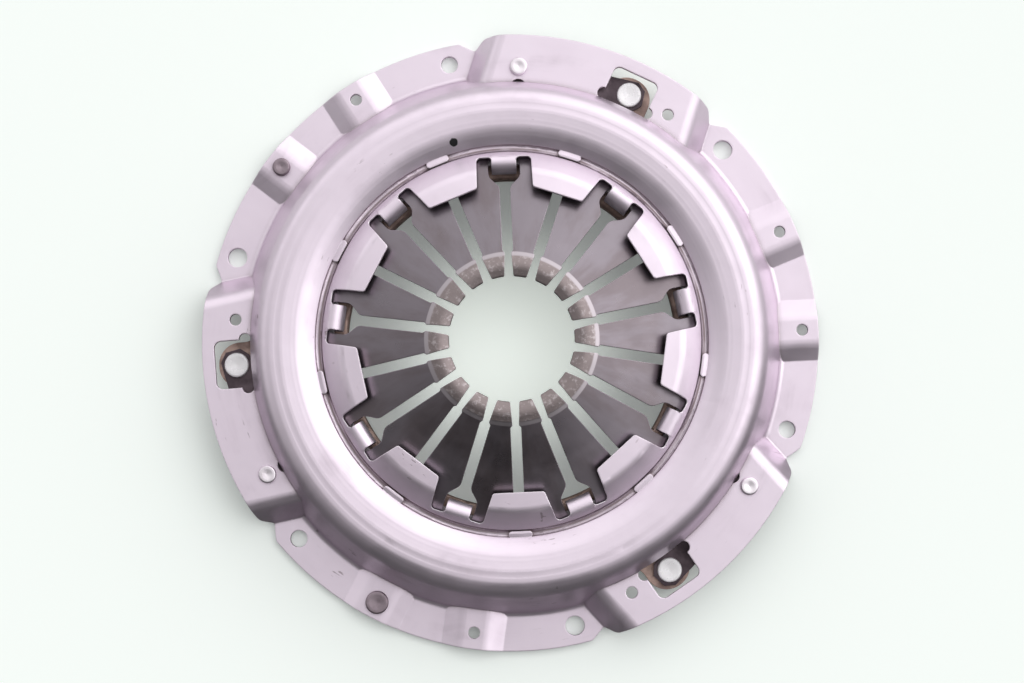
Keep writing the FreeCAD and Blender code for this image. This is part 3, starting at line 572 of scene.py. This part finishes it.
def makeSpringSteel():
    finish = springFinish
    material, tree, shader = startMaterial("springSteel")
    shader["Metallic"].default_value = 1
    rolled = useGroup(tree, roundTheAxis, **finish["rolled"])
    patches = noise(tree, rolled["Vector"], *finish["patches"])
    clouds = noise(tree, objectPoint(tree), *finish["clouds"])
    speckle = noise(tree, objectPoint(tree), *finish["speckle"])
    band, head = (
        ramp(tree, rolled["Radius"], *(radius * mm for radius in finish[reach]))
        for reach in ("bandReach", "headReach"))
    colour = mixColour(tree, ramp(tree, patches, *finish["patchFade"]), finish["colour"],
                       finish["brown"])
    colour = mixColour(tree, band, colour, finish["band"])
    flecks = ramp(tree, speckle, *finish["speckleFade"])
    colour = mixColour(tree, head, colour, mixColour(tree, flecks, finish["head"], finish["fleck"]))
    roundedEdge = useGroup(tree, edgeWearAndHighlight, Width=finish["edgeWidth"] * mm)
    # wear and painted highlight on the edges
    wornAndHighlit = maths(tree, "MULTIPLY", roundedEdge["Mask"], finish["edgeWearAndHighlight"])
    join(tree, mixColour(tree, wornAndHighlit, colour, finish["edge"]), shader["Base Color"])
    gloss = ramp(tree, clouds, *finish["glossFade"], *finish["gloss"])
    join(tree, maths(tree, "MULTIPLY_ADD", head, finish["headMatt"], gloss), shader["Roughness"])

    pits = maths(tree, "MULTIPLY", speckle,
                 maths(tree, "MULTIPLY_ADD", head, *finish["speckleHeight"]))
    height = maths(tree, "MULTIPLY_ADD", clouds, finish["cloudHeight"], pits)
    join(tree, addBump(tree, height, *finish["bump"], roundedEdge["Normal"]), shader["Normal"])
    return material


weldGap = 0.002  # mm, points of the CAD mesh closer than this become one


def copyNode(node, name):
    piece = nodes[node].copy()
    piece.data = nodes[node].data.copy()
    piece.name = name
    piece.parent = None
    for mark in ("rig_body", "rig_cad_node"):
        del piece[mark]
    bpy.context.scene.collection.objects.link(piece)
    bpy.ops.object.select_all(action="DESELECT")
    piece.select_set(True)
    bpy.context.view_layer.objects.active = piece
    bpy.ops.object.mode_set(mode="EDIT")
    bpy.ops.mesh.select_all(action="SELECT")
    bpy.ops.mesh.remove_doubles(threshold=weldGap * mm, use_sharp_edge_from_normals=True)
    bpy.ops.object.mode_set(mode="OBJECT")
    return piece


# A welded copy of the diaphragm spring, in its own steel, carried with the cover
def makeSpring():
    spring = copyNode("diaphragm_spring", "diaphragmSpring")
    dress(spring, makeSpringSteel())
    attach(spring, "cover")
    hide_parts("diaphragm_spring")
    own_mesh(spring)


makeSpring()
print("diaphragm spring made")


# Steels with one plain look, which their own finish can change
plainFinish = {
    "metal": 1.0,
    "clouds": (160, 4, 0.6),
    "cloudFade": (0.35, 0.7),
    "glossFade": (0.3, 0.7),
    # lighter edges: wear and a painted highlight
    "edgeWidth": 0.35,
    "edgeWearAndHighlight": 0.7,
    "grain": (600, 3, 0.6),
    "bump": (0.4, 0.1),
}


def plainSteel(name, ownFinish):
    finish = {**plainFinish, **ownFinish}
    material, tree, shader = startMaterial(name)
    shader["Metallic"].default_value = finish["metal"]
    clouds = noise(tree, objectPoint(tree), *finish["clouds"])
    colour = mixColour(tree, ramp(tree, clouds, *finish["cloudFade"]), finish["colour"],
                       finish["second"])
    roundedEdge = useGroup(tree, edgeWearAndHighlight, Width=finish["edgeWidth"] * mm)
    # wear and painted highlight on the edges
    wornAndHighlit = maths(tree, "MULTIPLY", roundedEdge["Mask"], finish["edgeWearAndHighlight"])
    join(tree, mixColour(tree, wornAndHighlit, colour, finish["edge"]), shader["Base Color"])
    join(tree, ramp(tree, clouds, *finish["glossFade"], *finish["gloss"]), shader["Roughness"])
    grain = noise(tree, objectPoint(tree), *finish["grain"])
    join(tree, addBump(tree, grain, *finish["bump"], roundedEdge["Normal"]), shader["Normal"])
    return material


# Drive straps
strapFinish = {
    "colour": (0.085, 0.065, 0.075),
    "second": (0.0595, 0.0455, 0.0525),
    "edge": (0.36, 0.31, 0.33),
    "gloss": (0.28, 0.45),
    "held": 0.18,
}


def middleOf(node):
    low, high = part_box(node)
    return (low + high) / 2


def makeStraps():
    material = plainSteel("strapSteel", strapFinish)
    for leaf in sorted(node for node in nodes if node.startswith("drive_strap")):
        pad, number = leaf.split("_")[2::2]
        piece = copyNode(leaf, f"driveStrap{pad}Leaf{number}")
        dress(piece, material)
        anchor = middleOf(f"strap_rivet_{pad}")
        lug = middleOf(f"lug_rivet_{pad}")
        along = lug - anchor
        along.z = 0
        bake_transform(piece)
        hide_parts(leaf)


makeStraps()
print("drive straps made")


# Pressure plate: brown cast iron, with a turned friction face below
plateFinish = {
    "colour": (0.52, 0.37, 0.32),
    "second": (0.30, 0.21, 0.185),
    "edge": (0.60, 0.50, 0.46),
    "gloss": (0.36, 0.52),
    "metal": 0.7,
    "grain": (900, 3, 0.6),
    "bump": (0.4, 0.25),
    "face": {
        "colour": (0.56, 0.53, 0.54),
        "dull": (0.40, 0.375, 0.38),
        "gloss": 0.30,
        "turned": {"Around": 0.4, "Across": 420.0},
        "marks": (4, 3, 0.6),
        "markFade": (0.35, 0.65),
        "reach": (0.4, 0.1),  # above the plate's bottom, it fades in between these
    },
}


def turnFace(material):
    finish = plateFinish["face"]
    tree = material.node_tree
    shader = tree.nodes["Principled BSDF"].inputs
    castColour, castGloss = (
        shader[name].links[0].from_socket for name in ("Base Color", "Roughness"))
    turned = useGroup(tree, roundTheAxis, **finish["turned"])
    marks = ramp(tree, noise(tree, turned["Vector"], *finish["marks"]), *finish["markFade"])
    colour = mixColour(tree, marks, finish["colour"], finish["dull"])
    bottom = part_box("pressure_plate")[0].z
    face = ramp(tree, heightOf(tree), *(bottom + above * mm for above in finish["reach"]))
    cast = maths(tree, "MULTIPLY", castGloss, fadeOut(tree, face))
    join(tree, mixColour(tree, face, castColour, colour), shader["Base Color"])
    join(tree, maths(tree, "MULTIPLY_ADD", face, finish["gloss"], cast), shader["Roughness"])
    return material


dress(nodes["pressure_plate"], turnFace(plainSteel("castIron", plateFinish)))
print("pressure plate dressed")


# Crown ring and rivets
crownFinish = {
    "colour": (0.33, 0.30, 0.32),
    "second": (0.231, 0.21, 0.224),
    "edge": (0.6, 0.56, 0.58),
    "gloss": (0.3, 0.45),
}
strapRivetFinish = {
    "colour": (0.86, 0.80, 0.85),
    "second": (0.70, 0.64, 0.69),
    "edge": (0.95, 0.91, 0.94),
    "gloss": (0.28, 0.42),
}
lugRivetFinish = {
    "colour": (0.95, 0.94, 0.95),
    "second": (0.88, 0.86, 0.88),
    "edge": (0.97, 0.96, 0.97),
    "gloss": (0.22, 0.32),
    "metal": 0.2,
    "bump": (0.4, 0.03),
}
balanceRivetFinish = {
    "colour": (0.30, 0.245, 0.275),
    "second": (0.22, 0.175, 0.20),
    "edge": (0.42, 0.36, 0.40),
    "gloss": (0.35, 0.5),
}

for start, name, finish in (
    ("fulcrum_crown_ring", "crownSteel", crownFinish),
    ("strap_rivet", "strapRivetSteel", strapRivetFinish),
    ("lug_rivet", "lugRivetSteel", lugRivetFinish),
    ("balance_rivet", "balanceRivetSteel", balanceRivetFinish),
):
    steel = plainSteel(name, finish)
    for node in nodes:
        if node.startswith(start):
            dress(nodes[node], steel)
print("crown ring and rivets dressed")
